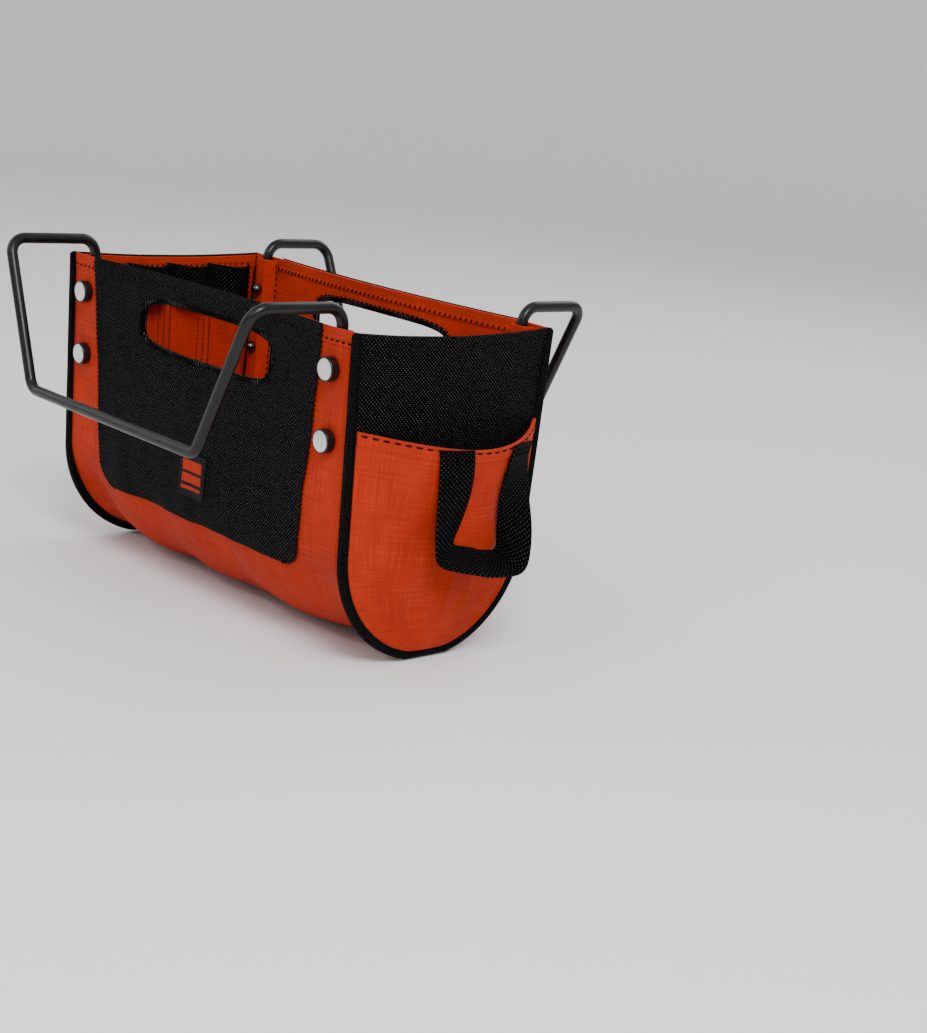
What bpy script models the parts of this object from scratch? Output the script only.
"""Tool bucket organizer: an open soft-sided tool bag that hangs from bent steel rod hooks.

Metres, +X along the bag, -Y towards its front, +Z up. The bag is drawn in its own frame, with
the rim at Z = 0 and the middle of the bag at X = Y = 0, under one empty. The empty puts the
world origin in the middle of the rear hook, where its two arms rest on a ladder rung.
"""
import math

import bmesh
import bpy
from mathutils import Matrix, Vector

# ---- driving dimensions ----
LENGTH = 0.330              # over the end bindings
DEPTH = 0.164               # over the walls, at the rim
HEIGHT = 0.213              # rim to the flat of the base
WALL_DROP = 0.1375          # rim to the start of the round base
BASE_RADIUS = 0.0775        # outside of the round base
RIM_BOW = 0.009             # how far the middle of each rim bows inwards
STRIP_WIDTH = 0.034         # bare fabric beside each end of a panel, at the rim
PANEL_TAPER = 0.014         # how much narrower each half of a panel is at its foot
PANEL_FOOT = 0.161          # rim to the foot of a panel
PANEL_CORNER = 0.018        # radius of its lower corners
GAP = 0.0003                # between neighbouring pieces

ROD_RADIUS = 0.00375        # hook rod
ROD_BEND = 0.012            # bend radius on the rod's centre line
HOOK_HALF_WIDTH = 0.142     # centre of the bag to a rod leg
HOOK_REACH = {"front": 0.0625, "rear": 0.0500}  # wall to the outer run's centre, at the top
HOOK_RISE = {"front": 0.012, "rear": 0.010}     # rim to the centre line of the arms
HOOK_TOE_OUT = 0.0025       # how much further out the cross bar lies
HOOK_DROP = 0.085           # rim to the centre line of the cross bar
HOOK_TOE_HALF = 0.0985      # half the cross bar, between its corners
LEG_DEPTH = 0.095           # rim to the foot of a leg

SCREW_DEPTHS = {"upper": 0.0255, "lower": 0.0705}
SHANK_RADIUS = 0.0020
HOLE_RADIUS = 0.0023
COLLAR_RADIUS = 0.00775
COLLAR_HEIGHT = 0.0065
HEAD_RADIUS = 0.0068
HEAD_HEIGHT = 0.0014
NUT_RADIUS = 0.0045
NUT_HEIGHT = 0.0062
NUT_SKIRT = 0.0022          # straight part below its dome
NUT_CROWN = 0.0012          # metal over its blind hole
TIP_CLEARANCE = 0.0006      # screw tip to the end of the blind hole

SLOT_HALF_WIDTH = 0.0735    # hand slot in each long wall
SLOT_HALF_HEIGHT = 0.0165
SLOT_CENTRE = -0.0345
SLOT_SQUARENESS = 4.5       # superellipse exponent

POCKET_MOUTH = 0.060        # rim to the pocket hem at the seams
POCKET_SAG = 0.0114         # the hem's dip in the middle
POCKET_SKEW = 0.34          # how much fuller the pocket is towards the rear
POCKET_BULGE = 0.025        # how far the pocket stands off its end panel

LOOP_WIDTH = 0.0254         # hammer loop webbing
LOOP_TOP = -0.0700          # height of the seams at its two ends
LOOP_INNER_EDGE = ((-0.002, LOOP_TOP), (-0.008, -0.1345), (0.043, -0.145), (0.036, LOOP_TOP))
LOOP_CORNER = 0.005         # rounding of the inner edge's corners
LOOP_WAIST = 0.008          # how far each leg bows towards the other
LOOP_STAND_OFF = 0.0024     # pocket face to the middle of the webbing
LOOP_FRONT_FACE = math.radians(-102)    # way from the inner to the outer edge, at the front seam
LOOP_REAR_FACE = math.radians(111.5)    # and at the rear seam
LOOP_LAG = 1.20             # how much of the turn is left to the rear leg
LOOP_TILT = math.radians(28)            # how far the bend's outer edge hangs down

BAND_TOP = 0.008            # rim to the tool band's upper edge
BAND_HEIGHT = 0.028
BAND_LOOPS = 4
BAND_PITCH = 0.036
BAND_BULGE = 0.014
BAND_FULLNESS = 0.8         # below 1 makes each loop squarer than a sine

SLEEVE_TOP = 0.002          # rim to a rod sleeve's upper edge
SLEEVE_END = 0.104          # rim to its lower edge
SLEEVE_CREST_HALF = 0.0048  # half its flat crest over the rod
SLEEVE_FLANK = 0.0095       # rod to the foot of the crest
SLEEVE_SEAM_IN = 0.0107     # rod to the seam nearer the middle of the bag
SLEEVE_SEAM_OUT = 0.0155    # rod to the seam nearer the end

LABEL_SIZE = 0.030
LABEL_DEPTH = 0.128         # rim to the middle of the label

# ---- fabric and webbing thicknesses ----
WALL_T = 0.0016
PANEL_T = 0.0010
LINING_T = 0.0012
END_PANEL_T = 0.0012
BINDING_T = 0.0050
SLEEVE_T = 0.0010
POCKET_T = 0.0014
BAND_T = 0.0014
WEBBING_T = 0.0022
LABEL_T = 0.0008
SLEEVE_EASE = 0.0002
SLACK = 0.0004              # rod leg off the wall, and half the slack of its sleeve
TURN_STEPS = 16             # facets round a turned piece
HOLE_STEPS = 12

# ---- derived ----
TAPER = DEPTH / 2 - BASE_RADIUS
SLANT = math.hypot(WALL_DROP, TAPER)            # wall length, rim to round base
TILT = math.atan2(TAPER, WALL_DROP)             # the walls' lean
BINDING_OUT = 0.0022                            # binding proud of the walls
BINDING_IN = 0.0042                             # binding over the end panels
SEAM_X = LENGTH / 2 - BINDING_T                 # inner side of each end's seam
WALL_HALF = SEAM_X - GAP
LINING_X = SEAM_X + GAP                         # inner face of an end lining
PANEL_X = LINING_X + LINING_T + GAP             # inner face of an end panel
POCKET_X = PANEL_X + END_PANEL_T + GAP          # back of a pocket's seam
PLATE_INSET = BINDING_IN + GAP
BOW_HALF = LENGTH / 2 - STRIP_WIDTH             # the rim bows between the strips
ROD_INSET = WALL_T + ROD_RADIUS + SLACK         # wall's outside to a leg's centre line
SLEEVE_CREST = 2 * (ROD_RADIUS + SLACK) + SLEEVE_EASE  # sleeve's inside over the wall's inside
NUT_SEAT = WALL_T + SLEEVE_CREST + SLEEVE_T + GAP
SADDLE = Vector((0.0, DEPTH / 2 + HOOK_REACH["rear"] / 2, HOOK_RISE["rear"] - ROD_RADIUS))

SIDES = {"front": -1, "rear": 1}
ENDS = {"left": -1, "right": 1}

ORANGE = (0.55, 0.055, 0.020)
BLACK_NYLON = (0.012, 0.012, 0.013)
BLACK_TAPE = (0.010, 0.010, 0.011)
POWDER_COAT = (0.020, 0.021, 0.024)
ZINC = (0.62, 0.62, 0.63)
GUNMETAL = (0.08, 0.08, 0.085)


# ---- scene helpers ----
def clear_scene():
    for obj in list(bpy.data.objects):
        bpy.data.objects.remove(obj, do_unlink=True)


def new_collection(name):
    collection = bpy.data.collections.new(name)
    bpy.context.scene.collection.children.link(collection)
    return collection


def material(name, colour, roughness, metallic=0.0):
    found = bpy.data.materials.get(name)
    if found:
        return found
    made = bpy.data.materials.new(name)
    made.use_nodes = True
    shader = made.node_tree.nodes["Principled BSDF"]
    shader.inputs["Base Color"].default_value = (*colour, 1.0)
    shader.inputs["Roughness"].default_value = roughness
    shader.inputs["Metallic"].default_value = metallic
    return made


def orange_fabric():
    return material("orange_fabric", ORANGE, 0.75)


def black_nylon():
    return material("black_nylon", BLACK_NYLON, 0.70)


def black_webbing():
    return material("black_webbing", BLACK_TAPE, 0.80)


def powder_coated_steel():
    return material("powder_coated_steel", POWDER_COAT, 0.35, 0.2)


def black_plastic():
    return material("black_plastic", POWDER_COAT, 0.45)


def zinc_steel():
    return material("zinc_steel", ZINC, 0.35, 0.9)


def dark_steel():
    return material("dark_steel", GUNMETAL, 0.25, 0.9)


class Bag:
    """The collections, and the empty that every piece of the bag hangs under."""

    def __init__(self):
        self.parts = new_collection("tool_bucket_organizer")
        self.cutters = new_collection("cutters")
        self.origin = bpy.data.objects.new("bag_origin", None)
        self.origin.location = -SADDLE
        self.parts.objects.link(self.origin)

    def add(self, name, data, finish, matrix=Matrix()):
        obj = bpy.data.objects.new(name, data)
        obj.parent = self.origin
        obj.matrix_local = matrix
        obj.data.materials.append(finish)
        self.parts.objects.link(obj)
        return obj

    def add_cutter(self, name, data, matrix=Matrix()):
        obj = bpy.data.objects.new(name, data)
        obj.parent = self.origin
        obj.matrix_local = matrix
        obj.hide_render = True
        obj.display_type = "WIRE"
        self.cutters.objects.link(obj)
        return obj


def cut(obj, cutter):
    mod = obj.modifiers.new(cutter.name, "BOOLEAN")
    mod.operation = "DIFFERENCE"
    mod.solver = "EXACT"
    mod.object = cutter


def keep_within(obj, cutter):
    cut(obj, cutter)
    obj.modifiers[cutter.name].operation = "INTERSECT"


def spread(low, high, steps):
    return [low + (high - low) * i / steps for i in range(steps + 1)]


def grid_sheet(bag, name, columns, rows, point, outward, thickness, finish, matrix=Matrix()):
    """A sheet of cloth: point(column, row) is its outer surface, and it thickens inwards."""
    mesh = bpy.data.meshes.new(name)
    bm = bmesh.new()
    verts = [[bm.verts.new(point(c, r)) for r in rows] for c in columns]
    for i in range(len(columns) - 1):
        for j in range(len(rows) - 1):
            corners = (verts[i][j], verts[i][j + 1], verts[i + 1][j + 1], verts[i + 1][j])
            bm.faces.new(corners)
    bm.normal_update()
    middle = list(bm.faces)[len(bm.faces) // 2]
    if middle.normal.dot(Vector(outward)) < 0:
        bmesh.ops.reverse_faces(bm, faces=list(bm.faces))
    bm.to_mesh(mesh)
    bm.free()
    obj = bag.add(name, mesh, finish, matrix)
    solid = obj.modifiers.new("cloth", "SOLIDIFY")
    solid.thickness = thickness
    solid.offset = -1.0
    return obj


def outline_curve(name, points, thickness):
    """A flat outline in its local XY plane, centred on its thickness."""
    curve = bpy.data.curves.new(name, "CURVE")
    curve.dimensions = "2D"
    curve.fill_mode = "BOTH"
    curve.extrude = thickness / 2
    spline = curve.splines.new("POLY")
    spline.points.add(len(points) - 1)
    for place, (u, v) in zip(spline.points, points):
        place.co = (u, v, 0.0, 1.0)
    spline.use_cyclic_u = True
    return curve


def rod_curve(name, points, radius):
    curve = bpy.data.curves.new(name, "CURVE")
    curve.dimensions = "3D"
    curve.bevel_depth = radius
    curve.bevel_resolution = 4
    curve.use_fill_caps = True
    spline = curve.splines.new("POLY")
    spline.points.add(len(points) - 1)
    for place, co in zip(spline.points, points):
        place.co = (*co, 1.0)
    return curve


def curve_to_mesh(curve):
    """The curve's evaluated mesh with its caps welded on; the curve is removed."""
    holder = bpy.data.objects.new("holder", curve)
    bpy.context.scene.collection.objects.link(holder)
    bpy.context.view_layer.update()
    evaluated = holder.evaluated_get(bpy.context.evaluated_depsgraph_get())
    mesh = bpy.data.meshes.new_from_object(evaluated)
    bm = bmesh.new()
    bm.from_mesh(mesh)
    bmesh.ops.remove_doubles(bm, verts=bm.verts, dist=0.00001)
    bmesh.ops.recalc_face_normals(bm, faces=bm.faces)
    bm.to_mesh(mesh)
    bm.free()
    bpy.data.objects.remove(holder, do_unlink=True)
    bpy.data.curves.remove(curve)
    return mesh


def turned(bag, name, profile, finish, matrix):
    """A turned piece about its local Z: profile is (radius, height), top to bottom outside."""
    mesh = bpy.data.meshes.new(name)
    bm = bmesh.new()
    verts = [bm.verts.new((radius, 0.0, height)) for radius, height in profile]
    for first, second in zip(verts, verts[1:]):
        bm.edges.new((first, second))
    if profile[0][0] > 0:
        bm.edges.new((verts[-1], verts[0]))
    bm.to_mesh(mesh)
    bm.free()
    obj = bag.add(name, mesh, finish, matrix)
    screw = obj.modifiers.new("turn", "SCREW")
    screw.axis = "Z"
    screw.steps = TURN_STEPS
    screw.render_steps = TURN_STEPS
    screw.use_merge_vertices = True
    screw.merge_threshold = 0.00001
    return obj


# ---- the bag's section ----
def section(arc, offset=0.0):
    """(y, z) on the front half of the section, arc metres down from the rim."""
    if arc <= SLANT:
        along = arc / SLANT
        y = -DEPTH / 2 + TAPER * along - offset * math.cos(TILT)
        return y, -WALL_DROP * along - offset * math.sin(TILT)
    turn = (arc - SLANT) / BASE_RADIUS
    radius = BASE_RADIUS + offset
    low = -HEIGHT - offset
    return -radius * math.cos(turn), max(low, -WALL_DROP - radius * math.sin(turn))


def section_outline(offset, steps=16):
    """The whole section as a U, from the front rim round the base to the rear rim."""
    arcs = [SLANT] + [SLANT + BASE_RADIUS * math.pi * i / steps for i in range(1, steps)]
    front_top = (section(0.0, offset)[0], 0.0)
    rear_top = (-front_top[0], 0.0)
    curve = [section(arc, offset) for arc in arcs]
    rear_turn = (-curve[0][0], curve[0][1])
    return [front_top] + curve + [rear_turn, rear_top]


def bow(x, z):
    """How far the rim's sag pulls a long wall inwards."""
    across = max(0.0, 1.0 - (x / BOW_HALF) ** 2)
    down = max(0.0, 1.0 + z / WALL_DROP)
    return RIM_BOW * across * down


def wall_point(side, x, arc, offset=0.0):
    y, z = section(arc, offset)
    return Vector((x, -side * (y + bow(x, z)), min(z, 0.0)))


def across_bag(middle_x):
    """Stands an outline in the bag's YZ plane at middle_x."""
    return Matrix.Translation((middle_x, 0, 0)) @ Matrix(((0, 0, 1), (1, 0, 0), (0, 1, 0))).to_4x4()


def along_bag():
    """Stands an outline in the bag's XZ plane."""
    return Matrix(((1, 0, 0), (0, 0, -1), (0, 1, 0))).to_4x4()


def strip_frame(side, end, depth):
    """On the outside of a strip, over the rod leg, with local +Z straight out of the wall."""
    y, z = section(depth / math.cos(TILT))
    place = Matrix.Translation((end * HOOK_HALF_WIDTH, -side * y, z))
    return place @ Matrix.Rotation(-side * (math.pi / 2 + TILT), 4, "X")


# ---- cutters ----
def slot_cutter(bag):
    steps = 40
    points = []
    for i in range(steps):
        angle = 2 * math.pi * i / steps
        c, s = math.cos(angle), math.sin(angle)
        u = math.copysign(abs(c) ** (2 / SLOT_SQUARENESS), c)
        v = math.copysign(abs(s) ** (2 / SLOT_SQUARENESS), s)
        points.append((SLOT_HALF_WIDTH * u, SLOT_CENTRE + SLOT_HALF_HEIGHT * v))
    mesh = curve_to_mesh(outline_curve("hand_slot_cutter", points, 2 * DEPTH))
    return bag.add_cutter("hand_slot_cutter", mesh, along_bag())


def panel_cutter(bag):
    """The panel's tapered outline with round lower corners, as a prism through the bag."""
    above_rim = 0.02
    corner_x = BOW_HALF - PANEL_TAPER - PANEL_CORNER
    corner_z = PANEL_CORNER - PANEL_FOOT
    arc = [(corner_x + PANEL_CORNER * math.cos(a), corner_z + PANEL_CORNER * math.sin(a))
           for a in spread(0.0, -math.pi / 2, 5)]
    right = [(BOW_HALF, above_rim), (BOW_HALF, 0.0)] + arc
    left = [(-u, v) for u, v in reversed(right)]
    mesh = curve_to_mesh(outline_curve("panel_cutter", right + left, 2 * DEPTH))
    return bag.add_cutter("panel_cutter", mesh, along_bag())


def screw_hole_cutters(bag):
    length = 0.060
    found = {}
    for side_name, side in SIDES.items():
        for end_name, end in ENDS.items():
            for level, depth in SCREW_DEPTHS.items():
                name = f"screw_hole_{side_name}_{end_name}_{level}"
                mesh = bpy.data.meshes.new(name)
                bm = bmesh.new()
                bmesh.ops.create_cone(bm, cap_ends=True, segments=HOLE_STEPS,
                                      radius1=HOLE_RADIUS, radius2=HOLE_RADIUS, depth=length)
                bm.to_mesh(mesh)
                bm.free()
                cutter = bag.add_cutter(name, mesh, strip_frame(side, end, depth))
                found[side_name, end_name, level] = cutter
    return found


# ---- soft pieces ----
def walls(bag, slot, holes):
    columns = [-WALL_HALF] + spread(-BOW_HALF, BOW_HALF, 12) + [WALL_HALF]
    for side_name, side in SIDES.items():
        wall = grid_sheet(bag, f"{side_name}_wall", columns, spread(0.0, SLANT - GAP, 5),
                          lambda x, arc: wall_point(side, x, arc),
                          (0, side, 0), WALL_T, orange_fabric())
        cut(wall, slot)
        for (owner, _, _), hole in holes.items():
            if owner == side_name:
                cut(wall, hole)


def base(bag):
    half_turn = math.pi * BASE_RADIUS
    arcs = spread(SLANT + GAP, SLANT + half_turn - GAP, 16)
    grid_sheet(bag, "base_fabric", [-WALL_HALF, WALL_HALF], arcs,
               lambda x, arc: Vector((x, *section(arc))), (0, 0, -1), WALL_T, orange_fabric())


def panels(bag, slot, outline):
    wrap = 0.050            # the sheet's length round the base, before it is cut to its outline
    for side_name, side in SIDES.items():
        panel = grid_sheet(bag, f"{side_name}_panel", spread(-BOW_HALF, BOW_HALF, 12),
                           spread(0.0, SLANT, 5) + spread(SLANT, SLANT + wrap, 5)[1:],
                           lambda x, arc: wall_point(side, x, arc, GAP + PANEL_T),
                           (0, side, 0), PANEL_T, black_nylon())
        keep_within(panel, outline)
        cut(panel, slot)


def label(bag):
    half = LABEL_SIZE / 2
    grid_sheet(bag, "label_patch", spread(-half, half, 2),
               spread(LABEL_DEPTH - half, LABEL_DEPTH + half, 4),
               lambda x, arc: wall_point(-1, x, arc, 2 * GAP + PANEL_T + LABEL_T),
               (0, -1, 0), LABEL_T, black_nylon())


def end_plates(bag):
    """Each end's orange lining inside and black panel outside, and the binding round both."""
    plate = section_outline(-PLATE_INSET)
    rim = section_outline(BINDING_OUT) + section_outline(-BINDING_IN)[::-1]
    layers = (("end_lining", plate, LINING_X, LINING_T, orange_fabric()),
              ("end_panel", plate, PANEL_X, END_PANEL_T, black_nylon()),
              ("binding", rim, SEAM_X, BINDING_T, black_webbing()))
    for end_name, end in ENDS.items():
        for layer, points, inner_x, thickness, finish in layers:
            name = f"{layer}_{end_name}"
            middle = end * (inner_x + thickness / 2)
            curve = outline_curve(name, points, thickness)
            bag.add(name, curve, finish, across_bag(middle))


def pocket_half_width(z):
    """Half the width inside an end's binding at the height z."""
    inset = PLATE_INSET + GAP
    if z >= -WALL_DROP:
        return DEPTH / 2 + TAPER * z / WALL_DROP - inset
    below = (-WALL_DROP - z) / (BASE_RADIUS - inset)
    return (BASE_RADIUS - inset) * math.sqrt(max(0.0, 1.0 - below * below))


def pocket_point(end, across, z):
    """across runs from -1 at the front seam to 1 at the rear seam."""
    half = pocket_half_width(z)
    crown = (1.0 - across * across) * (1.0 + POCKET_SKEW * across)
    depth = (-POCKET_MOUTH - z) / (HEIGHT - POCKET_MOUTH)
    fade = 1.0 - depth
    x = POCKET_X + POCKET_T + POCKET_BULGE * crown * fade
    return Vector((end * x, half * across, z - POCKET_SAG * crown * fade))


def end_pockets(bag):
    low_turn = math.radians(74)     # where the pocket's foot ends, round the base
    inner_radius = BASE_RADIUS - PLATE_INSET - GAP
    heights = spread(-POCKET_MOUTH, -WALL_DROP, 4)
    heights += [-WALL_DROP - inner_radius * math.sin(a) for a in spread(0.0, low_turn, 5)[1:]]
    for end_name, end in ENDS.items():
        grid_sheet(bag, f"end_pocket_{end_name}", spread(-1.0, 1.0, 12), heights,
                   lambda across, z: pocket_point(end, across, z),
                   (end, 0, 0), POCKET_T, orange_fabric())


def tool_bands(bag):
    """Webbing sewn down at every pitch, so it stands off the lining in loops for tools."""
    width = BAND_LOOPS * BAND_PITCH
    for end_name, end in ENDS.items():

        def band_point(across, depth):
            wave = abs(math.sin(math.pi * across * BAND_LOOPS)) ** BAND_FULLNESS
            x = LINING_X - GAP - BAND_T - BAND_BULGE * wave
            return Vector((end * x, width * (across - 0.5), -depth))

        grid_sheet(bag, f"tool_band_{end_name}", spread(0.0, 1.0, 6 * BAND_LOOPS),
                   [BAND_TOP, BAND_TOP + BAND_HEIGHT], band_point,
                   (-end, 0, 0), BAND_T, black_webbing())


def rod_sleeves(bag, holes):
    """Lining strips sewn over the rod legs, inside the bag's corners."""
    slope_middle = (SLEEVE_FLANK + SLEEVE_CREST_HALF) / 2
    half = [SLEEVE_CREST_HALF, slope_middle, SLEEVE_FLANK]
    columns = [-SLEEVE_SEAM_IN] + [-dx for dx in reversed(half)] + [0.0] + half + [SLEEVE_SEAM_OUT]
    for side_name, side in SIDES.items():
        for end_name, end in ENDS.items():

            def sleeve_point(dx, depth):
                climb = (SLEEVE_FLANK - abs(dx)) / (SLEEVE_FLANK - SLEEVE_CREST_HALF)
                climb = min(1.0, max(0.0, climb))
                smooth = climb * climb * (3.0 - 2.0 * climb)
                rise = GAP + SLEEVE_T + (SLEEVE_CREST - GAP) * smooth
                y, z = section(depth / math.cos(TILT), -WALL_T - rise)
                return Vector((end * (HOOK_HALF_WIDTH + dx), -side * y, z))

            name = f"rod_sleeve_{side_name}_{end_name}"
            sleeve = grid_sheet(bag, name, columns, [SLEEVE_TOP, SLEEVE_END], sleeve_point,
                                (0, -side, 0), SLEEVE_T, orange_fabric())
            for level in SCREW_DEPTHS:
                cut(sleeve, holes[side_name, end_name, level])


def pocket_face(y, z):
    """A point of the right pocket's outer side, given its place across the bag and its height."""
    pattern_z = z
    for _ in range(4):
        across = y / pocket_half_width(pattern_z)
        pattern_z += z - pocket_point(1, across, pattern_z).z
    return pocket_point(1, y / pocket_half_width(pattern_z), pattern_z)


def evenly(path, count):
    """The path's points moved along it to equal steps, with each one's share of the length."""
    lengths = [0.0]
    for here, ahead in zip(path, path[1:]):
        lengths.append(lengths[-1] + (ahead - here).length)
    leg = 0
    for i in range(count + 1):
        share = i / count
        place = share * lengths[-1]
        while leg < len(path) - 2 and lengths[leg + 1] < place:
            leg += 1
        part = (place - lengths[leg]) / (lengths[leg + 1] - lengths[leg])
        yield share, path[leg].lerp(path[leg + 1], part)


def hammer_loop(bag):
    """A strap sewn flat at both ends, which turns so that its bend lies open like a stirrup."""
    station_count = 34
    corners = [Vector((0.0, y, z)) for y, z in LOOP_INNER_EDGE]
    lowest = min(corner.z for corner in corners)
    middle = sum(corner.y for corner in corners) / len(corners)
    stations = []
    for share, point in evenly(rounded_path(corners, LOOP_CORNER), station_count):
        level = (LOOP_TOP - point.z) / (LOOP_TOP - lowest)
        waist = 4.0 * LOOP_WAIST * level * (1.0 - level)
        inner = pocket_face(point.y + math.copysign(waist, middle - point.y), point.z)
        inner.x += LOOP_STAND_OFF
        turned = min(share ** LOOP_LAG, 1.0)
        turned = turned * turned * (3.0 - 2.0 * turned)
        facing = LOOP_FRONT_FACE + (LOOP_REAR_FACE - LOOP_FRONT_FACE) * turned
        drop = LOOP_TILT * math.sin(math.pi * share) ** 2
        way = Vector((math.cos(drop) * math.cos(facing), math.cos(drop) * math.sin(facing),
                      -math.sin(drop)))
        stations.append((inner, way * LOOP_WIDTH))

    front_seam, rear_seam = (inner + across / 2 for inner, across in (stations[0], stations[-1]))
    hinge = (front_seam + rear_seam) / 2
    run = rear_seam - front_seam
    matrix = Matrix.Translation(hinge) @ Matrix.Rotation(math.atan2(-run.x, run.y), 4, "Z")
    from_bag = matrix.inverted()

    def strap_point(edge, station):
        inner, across = stations[station]
        return from_bag @ (inner + across * edge)

    strap = grid_sheet(bag, "hammer_loop", [0.0, 0.5, 1.0], list(range(len(stations))),
                       strap_point, (0, 0, 1), WEBBING_T, black_webbing(), matrix)
    strap.modifiers["cloth"].offset = 0.0


# ---- hooks and fasteners ----
def rounded_path(corners, radius, steps=5):
    """The corners joined by straight runs, with each inner corner replaced by an arc."""
    path = [corners[0]]
    for before, corner, after in zip(corners, corners[1:], corners[2:]):
        back = (before - corner).normalized()
        ahead = (after - corner).normalized()
        half_angle = back.angle(ahead) / 2
        centre = corner + (back + ahead).normalized() * (radius / math.sin(half_angle))
        start = corner + back * (radius / math.tan(half_angle)) - centre
        end = corner + ahead * (radius / math.tan(half_angle)) - centre
        sweep = start.angle(end)
        for i in range(steps + 1):
            s = i / steps
            spoke = (start * math.sin((1 - s) * sweep) + end * math.sin(s * sweep))
            path.append(centre + spoke / math.sin(sweep))
    path.append(corners[-1])
    return path


def hook_corners(side, reach, rise):
    """The rod's corners from one leg's foot over the bag to the other leg's foot."""
    foot_y, foot_z = section(LEG_DEPTH / math.cos(TILT), -ROD_INSET)
    top_y = section(0.0, -ROD_INSET)[0] - rise * math.tan(TILT)
    outer_y = -DEPTH / 2 - reach
    half = [Vector((HOOK_HALF_WIDTH, foot_y, foot_z)),
            Vector((HOOK_HALF_WIDTH, top_y, rise)),
            Vector((HOOK_HALF_WIDTH, outer_y, rise)),
            Vector((HOOK_TOE_HALF, outer_y - HOOK_TOE_OUT, -HOOK_DROP))]
    whole = half + [Vector((-p.x, p.y, p.z)) for p in reversed(half)]
    return [Vector((p.x, -side * p.y, p.z)) for p in whole]


def hooks(bag, holes):
    for side_name, side in SIDES.items():
        corners = hook_corners(side, HOOK_REACH[side_name], HOOK_RISE[side_name])
        path = rounded_path(corners, ROD_BEND)
        name = f"{side_name}_hook_rod"
        rod = bag.add(name, curve_to_mesh(rod_curve(name, path, ROD_RADIUS)),
                      powder_coated_steel())
        rod.data.shade_smooth()
        for (owner, _, _), hole in holes.items():
            if owner == side_name:
                cut(rod, hole)


def collar_profile():
    seat = COLLAR_HEIGHT - HEAD_HEIGHT - GAP
    edge = 0.0007
    lip = HEAD_RADIUS + GAP
    return [(COLLAR_RADIUS - edge, COLLAR_HEIGHT), (COLLAR_RADIUS, COLLAR_HEIGHT - edge),
            (COLLAR_RADIUS, GAP), (HOLE_RADIUS, GAP), (HOLE_RADIUS, seat), (lip, seat),
            (lip, COLLAR_HEIGHT)]


def screw_profile():
    """A flat head flush with its collar, and a shank that ends inside the nut."""
    head_top = COLLAR_HEIGHT
    head_low = COLLAR_HEIGHT - HEAD_HEIGHT
    edge = 0.0004
    tip = -NUT_SEAT - NUT_HEIGHT + NUT_CROWN + TIP_CLEARANCE
    return [(0.0, head_top), (HEAD_RADIUS - edge, head_top), (HEAD_RADIUS, head_top - edge),
            (HEAD_RADIUS, head_low), (SHANK_RADIUS, head_low), (SHANK_RADIUS, tip), (0.0, tip)]


def nut_profile():
    """A dome nut, its open face at the top."""
    top = -NUT_SEAT
    shoulder = top - NUT_SKIRT
    bottom = top - NUT_HEIGHT
    dome = [(NUT_RADIUS * math.cos(a), shoulder + (bottom - shoulder) * math.sin(a))
            for a in spread(0.0, math.pi / 2, 4)]
    dome[-1] = (0.0, bottom)
    blind = bottom + NUT_CROWN
    return [(0.0, blind), (HOLE_RADIUS, blind), (HOLE_RADIUS, top), (NUT_RADIUS, top)] + dome


def fasteners(bag):
    kinds = (("collar", collar_profile(), black_plastic()),
             ("screw", screw_profile(), zinc_steel()),
             ("dome_nut", nut_profile(), dark_steel()))
    for side_name, side in SIDES.items():
        for end_name, end in ENDS.items():
            for level, depth in SCREW_DEPTHS.items():
                frame = strip_frame(side, end, depth)
                for kind, profile, finish in kinds:
                    name = f"{kind}_{side_name}_{end_name}_{level}"
                    turned(bag, name, profile, finish, frame)


def main():
    clear_scene()
    bag = Bag()
    slot = slot_cutter(bag)
    holes = screw_hole_cutters(bag)
    walls(bag, slot, holes)
    base(bag)
    panels(bag, slot, panel_cutter(bag))
    label(bag)
    end_plates(bag)
    end_pockets(bag)
    tool_bands(bag)
    rod_sleeves(bag, holes)
    hammer_loop(bag)
    hooks(bag, holes)
    fasteners(bag)


main()
